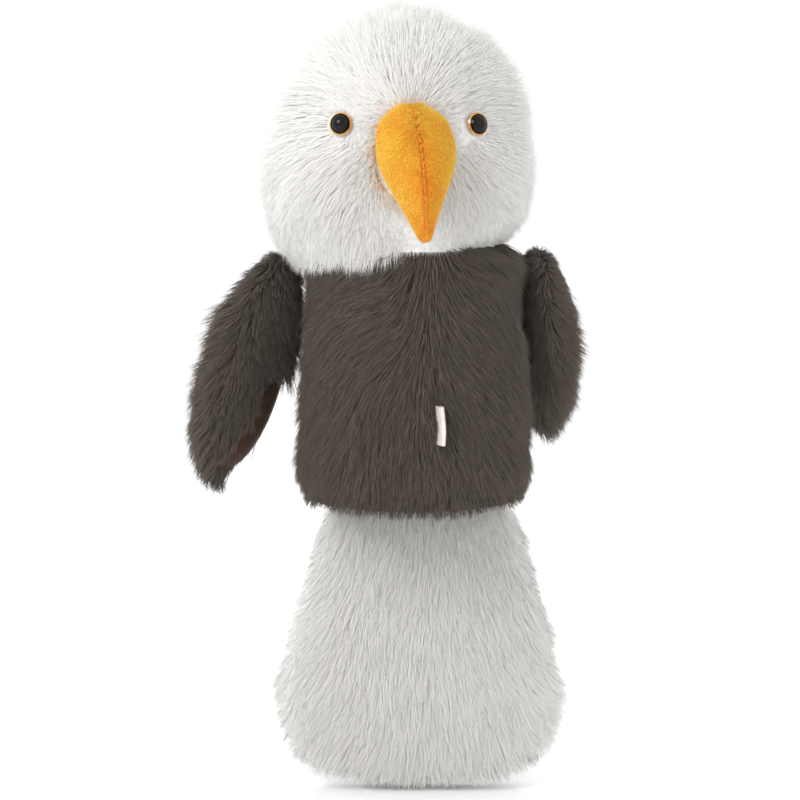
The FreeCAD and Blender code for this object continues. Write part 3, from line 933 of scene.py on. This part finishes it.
class COVER_OT_tail(Operator):
    """White fan tail, front and back"""
    bl_idname = "cover.tail"
    bl_label = "Tail"

    def execute(self, context):
        fur = context.scene.cover_fur
        whole = tail_cloth()
        place = Matrix.Translation(TAIL_PLACE)
        style = pile_style(fur, length=fur.tail_length, flow=tail_flow, start=34, end=66, fall=0.05,
                           lock=5.0, pull=0.42,
                           density=fur.white_density, thickness=fur.white_thickness, rings=2, own=0.8,
                           mix=(2, 2))
        sides = {"tail_front": lambda p: p[:, 1] < 0, "tail_back": lambda p: p[:, 1] >= 0}
        for index, (name, test) in enumerate(sides.items()):
            rng = np.random.default_rng(fur.seed + 60 + index)
            cloth = whole.part(test)
            base = add_shell(name + "_backing", cloth, 1.0 * MM,
                             backing_material("white_backing", WHITE_BACKING), place)
            declare_padded(base, "tail", name)
            add_pile(name + "_pile", "tail", cloth, style, white_pile(), rng, place)
        return {"FINISHED"}


def beak_place():
    """The beak leans a little to one side on the head."""
    lean = Matrix.Rotation(BEAK_ROLL, 4, "Y")
    return head_place() @ Matrix.Translation(BEAK_ROLL_CENTRE) @ lean @ Matrix.Translation(-BEAK_ROLL_CENTRE)


def beak_flow(roots, normals):
    flow = np.tile(DOWN, (len(roots), 1)).astype(float)
    flow[:, 0] += roots[:, 0] / 0.04
    return flow


def beak_tint(roots):
    """Deeper orange down the ridge and towards the tip, yellow at the top and the sides."""
    ridge = np.exp(-(roots[:, 0] / (7 * MM)) ** 2) * np.clip((212 * MM - roots[:, 2]) / (34 * MM), 0, 1)
    return 0.27 - 0.55 * ridge


class COVER_OT_beak(Operator):
    """Short-pile beak in two halves with a sewn ridge"""
    bl_idname = "cover.beak"
    bl_label = "Beak"

    def execute(self, context):
        cloth_set = context.scene.cover_cloth
        rows = smooth_rows(list(reversed(BEAK_FORM)), 8) * MM
        angle = np.linspace(0, 2 * math.pi, RING_STEPS, endpoint=False)
        points = np.zeros((len(rows), RING_STEPS, 3))
        centre = 0.5 * (rows[:, 2:3] + rows[:, 3:4])
        depth = 0.5 * (rows[:, 3:4] - rows[:, 2:3])
        points[:, :, 0] = rows[:, 1:2] * np.cos(angle)
        points[:, :, 1] = centre + depth * np.sin(angle)
        points[:, :, 2] = rows[:, 0:1]
        groove = np.exp(-(points[:, :, 0] / (1.1 * MM)) ** 2) * (points[:, :, 1] < centre) * 0.7 * MM
        points[:, :, 1] += groove
        whole = grid_cloth(points)
        velboa = cloth_material("beak_velboa", tuple(cloth_set.beak_orange), tuple(cloth_set.beak_yellow),
                                900.0, 0.8,
                                0.6, sheen=0.4)
        lean = lambda p: p[:, 1] > -64 * MM - (221 * MM - p[:, 2]) * 0.42
        parts = {
            "beak_left": lambda p: ~lean(p) & (p[:, 0] < 0),
            "beak_right": lambda p: ~lean(p) & (p[:, 0] >= 0),
            "beak_underside": lean,
        }
        style = pile_style(
            context.scene.cover_fur, length=context.scene.cover_fur.beak_length, flow=beak_flow, start=25,
            end=55,
            fall=0.05, lock=2.5, pull=0.3, density=5.0, thickness=0.00034, rings=2, own=1.2, mix=(4, 4),
            stray=0.5,
            tint=beak_tint, keep=lambda p: (np.abs(p[:, 0]) > 0.35 * MM) | (p[:, 2] > 196 * MM),
        )
        for index, (name, test) in enumerate(parts.items()):
            cloth = whole.part(test)
            piece = add_shell(name + "_cloth", cloth, 0.5 * MM, velboa, beak_place())
            declare_padded(piece, "cover", name)
            rng = np.random.default_rng(context.scene.cover_fur.seed + 80 + index)
            add_pile(name + "_pile", "cover", cloth, style, velboa_pile(), rng, beak_place())
        return {"FINISHED"}


def open_cloth(points):
    """Cloth from a grid of points that doesn't close on itself."""
    rows, columns = points.shape[:2]
    normals = unit(np.cross(np.gradient(points, axis=1), np.gradient(points, axis=0)))
    index = np.arange(rows * columns).reshape(rows, columns)
    faces = np.stack([index[:-1, :-1], index[:-1, 1:], index[1:, 1:], index[1:, :-1]], axis=-1).reshape(-1, 4)
    return Cloth(points.reshape(-1, 3), faces, normals.reshape(-1, 3))


class COVER_OT_label(Operator):
    """Blank care label, a tape folded in two and sewn into the front seam"""
    bl_idname = "cover.label"
    bl_label = "Care Label"

    def execute(self, context):
        cloth_set = context.scene.cover_cloth
        low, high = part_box("care_label")
        way = Vector((high.x - low.x, low.y - high.y, 0)).normalized()
        side = Vector((-way.y, way.x, 0))
        reach = math.hypot(high.x - low.x, high.y - low.y) - 1.2 * MM
        gap = 0.5 * MM
        path = [(reach * t, gap * (1 + 0.9 * math.sin(2.4 * t))) for t in np.linspace(0, 1, 22)]
        wide = path[-1][1]
        path += [(reach + wide * math.sin(a), wide * math.cos(a)) for a in np.linspace(0.25,
                                                                                       math.pi - 0.25, 9)]
        path += [(reach * t, -gap * (1 + 0.9 * math.sin(2.4 * t))) for t in np.linspace(1, 0, 22)]
        start = Vector((low.x, high.y, 0))
        grid = np.zeros((26, len(path), 3))
        for row, z in enumerate(np.linspace(low.z + 0.2 * MM, high.z - 0.2 * MM, 26)):
            sway = 0.7 * MM * math.sin((z - low.z) / (high.z - low.z) * 3.4 + 0.4)
            for column, (along, across) in enumerate(path):
                spot = start + way * along + side * (across + sway * (along / reach) ** 2)
                grid[row, column] = (spot.x, spot.y, z)
        cloth = open_cloth(grid)
        tape = tape_material("label_weave", cloth_set.label)
        piece = add_shell("care_label_tape", cloth, 0.25 * MM, tape)
        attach(piece, "cover")
        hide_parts("care_label")
        return {"FINISHED"}


class COVER_OT_opening(Operator):
    """Gathered casing round the elastic, the facing beside it and the knit pocket above"""
    bl_idname = "cover.opening"
    bl_label = "Opening"

    def execute(self, context):
        cloth_set = context.scene.cover_cloth
        knit = knit_material("opening_knit", cloth_set.knit)
        angle = np.linspace(0, 2 * math.pi, 480, endpoint=False)
        gather = np.sin(angle * 44 + 0.8 * np.sin(angle * 5)) * 0.45 * MM
        low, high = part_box("hem_casing")
        outer_r = high.x - 0.5 * MM
        inner_r = OPENING_R + 0.5 * MM
        middle_r, middle_z = 0.5 * (outer_r + inner_r), 0.5 * (low.z + high.z)
        rows = []
        for turn in np.linspace(0, 2 * math.pi, 24, endpoint=False):
            c, s = math.cos(turn), math.sin(turn)
            across = math.copysign(abs(c) ** 0.6, c) * 0.5 * (outer_r - inner_r)
            height = math.copysign(abs(s) ** 0.35, s) * (0.5 * (high.z - low.z) - 0.3 * MM)
            radius = middle_r + across + gather * c
            rows.append(np.stack([radius * np.cos(angle), radius * np.sin(angle),
                                  np.full_like(angle, middle_z + height)], axis=1))
        index = np.arange(24 * 480).reshape(24, 480)
        up, right = np.roll(index, -1, axis=0), np.roll(index, -1, axis=1)
        faces = np.stack([index, right, np.roll(right, -1, axis=0), up], axis=-1).reshape(-1, 4)
        casing = add_mesh("casing_gathers", np.concatenate(rows), faces, knit)
        facing_rows = []
        x, y = squircle(angle)
        bottom = SLEEVE_CLOTH[0]
        for share in np.linspace(0, 1, 10):
            pucker = gather * (1 - share) * 0.8
            inner = np.stack([outer_r * np.cos(angle), outer_r * np.sin(angle)], axis=1)
            rim = np.stack([x * bottom[1] * MM, y * bottom[2] * MM], axis=1)
            level = (0.5 + 2.4 * share) * MM + pucker
            facing_rows.append(np.concatenate([inner * (1 - share) + rim * share, level[:, None]], axis=1))
        facing = add_shell("facing_puckers", grid_cloth(np.array(facing_rows[::-1])), 0.8 * MM, knit)
        for piece, node in ((casing, "hem_casing"), (facing, "hem_facing")):
            declare_padded(piece, "cover", node)
        whole = ring_cloth([(z, half_x, half_y) for z, half_x, half_y, _ in POCKET_CLOTH], per_gap=6)
        places = [row[0] * MM for row in POCKET_CLOTH]
        whole.points[:, 0] += np.interp(whole.points[:, 2], places, [row[3] * MM for row in POCKET_CLOTH])
        whole.points = whole.points - whole.normals * (0.3 * MM * (1 + ripple(whole.points, 0.02, 77)))[:,
                                                                                                        None]
        for word, test in (("left", lambda p: p[:, 0] < 0), ("right", lambda p: p[:, 0] >= 0)):
            cloth = whole.part(test)
            piece = add_shell("pocket_knit_" + word, cloth, 0.6 * MM, knit)
            node = "pocket_lining_" + word
            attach(piece, "cover")
            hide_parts(node)
            cloth.area() / POCKET_CUT_WIDTH
        return {"FINISHED"}


class COVER_OT_details(Operator):
    """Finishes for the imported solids: eyes, thread, elastic, fillings, and those behind the label and knit"""
    bl_idname = "cover.details"
    bl_label = "Finishes of the Packed Solids"

    def execute(self, context):
        cloth_set = context.scene.cover_cloth
        finishes = {
            "eye_black": gloss_material("eye_black", (0.002, 0.002, 0.002), (0.006, 0.005, 0.005), 0.10,
                                        0.0, shine=0.22),
            "eye_amber": gloss_material("eye_amber", (0.45, 0.20, 0.03), (0.62, 0.32, 0.06), 0.12, 1.0),
            "beak_thread": cloth_material("beak_thread", scaled(cloth_set.beak_thread, 0.85),
                                          tuple(cloth_set.beak_thread),
                                          3000.0, 0.6, 0.5),
            "pocket_knit": knit_material("pocket_knit", cloth_set.knit),
            "elastic": cloth_material("elastic", scaled(cloth_set.elastic, 0.8), tuple(cloth_set.elastic),
                                      1500.0, 0.8, 0.6,
                                      weave=True),
            "label_tape": tape_material("label_tape", cloth_set.label),
            "filling": cloth_material("filling", (0.75, 0.75, 0.73), (0.9, 0.9, 0.88), 500.0, 0.95, 0.8),
            "wadding": cloth_material("wadding", (0.72, 0.72, 0.70), (0.88, 0.88, 0.86), 400.0, 0.95, 0.8),
            "washer_plastic": gloss_material("washer_plastic", (0.70, 0.70, 0.67), (0.78, 0.78, 0.75),
                                             0.45, 0.0),
        }
        for row in frame["record"]["subparts"]:
            finish = finishes.get(row["material_slot"])
            if finish:
                node = frame["nodes"][row["node"]]
                node.data.materials.clear()
                node.data.materials.append(finish)
        return {"FINISHED"}


class COVER_OT_stage(Operator):
    """Floor, lights and camera"""
    bl_idname = "cover.stage"
    bl_label = "Stage"

    def execute(self, context):
        settings = context.scene.cover_stage
        scene = context.scene
        scene.view_settings.view_transform = "Standard"
        low = cad_box[0][2] - 4 * MM
        floor_finish = floor_material(tuple(settings.floor))
        size = 8.0
        floor = add_mesh("floor", [(-size, -size, low), (size, -size, low), (size, size, low), (-size,
                                                                                                size, low)],
                         [(0, 1, 2, 3)], floor_finish, smooth=False)
        world = bpy.data.worlds.new("studio")
        world.use_nodes = True
        world.node_tree.nodes["Background"].inputs["Color"].default_value = (1.0, 1.0, 1.0, 1)
        world.node_tree.nodes["Background"].inputs["Strength"].default_value = settings.daylight
        scene.world = world
        lamps = (
            ("key", (-1.1, -1.2, 1.1), 0.9, 19.0),
            ("fill", (1.3, -1.1, 0.6), 1.2, 3.0),
            ("back", (0.2, 1.4, 1.0), 1.0, 8.0),
        )
        for name, place, size, power in lamps:
            data = bpy.data.lights.new(name, "AREA")
            data.size = size
            data.energy = power
            lamp = bpy.data.objects.new(name, data)
            lamp.location = place
            aim = Vector((0, 0, 0.08)) - Vector(place)
            lamp.rotation_euler = aim.to_track_quat("-Z", "Y").to_euler()
            scene.collection.objects.link(lamp)
        data = bpy.data.cameras.new("camera")
        data.lens = settings.lens
        data.sensor_width = 36.0
        camera = bpy.data.objects.new("camera", data)
        camera.location = (-7.8 * MM, -settings.camera_distance, settings.camera_height)
        aim = Vector((-7.8 * MM, 0, 58.8 * MM)) - camera.location
        camera.rotation_euler = aim.to_track_quat("-Z", "Y").to_euler()
        scene.collection.objects.link(camera)
        scene.camera = camera
        return {"FINISHED"}


class COVER_PT_panel(Panel):
    """Lists the pieces of the head cover"""
    bl_idname = "COVER_PT_panel"
    bl_label = "Head Cover"
    bl_space_type = "VIEW_3D"
    bl_region_type = "UI"
    bl_category = "Head Cover"

    def draw(self, context):
        for name in STEPS:
            self.layout.operator("cover." + name)


STEPS = ("stage", "head", "sleeve", "wings", "tail", "beak", "label", "opening", "details")
CLASSES = (
    COVER_PG_fur, COVER_PG_cloth, COVER_PG_stage, COVER_OT_head, COVER_OT_sleeve, COVER_OT_wings,
    COVER_OT_tail,
    COVER_OT_beak, COVER_OT_label, COVER_OT_opening, COVER_OT_details, COVER_OT_stage, COVER_PT_panel,
)
GROUPS = {"cover_fur": COVER_PG_fur, "cover_cloth": COVER_PG_cloth, "cover_stage": COVER_PG_stage}


def register():
    for item in CLASSES:
        bpy.utils.register_class(item)
    for name, group in GROUPS.items():
        setattr(bpy.types.Scene, name, PointerProperty(type=group))


def unregister():
    for name in GROUPS:
        delattr(bpy.types.Scene, name)
    for item in reversed(CLASSES):
        bpy.utils.unregister_class(item)


def main():
    """Build every piece in order."""
    register()
    for name in STEPS:
        getattr(bpy.ops.cover, name)()


if __name__ == "__main__":
    main()
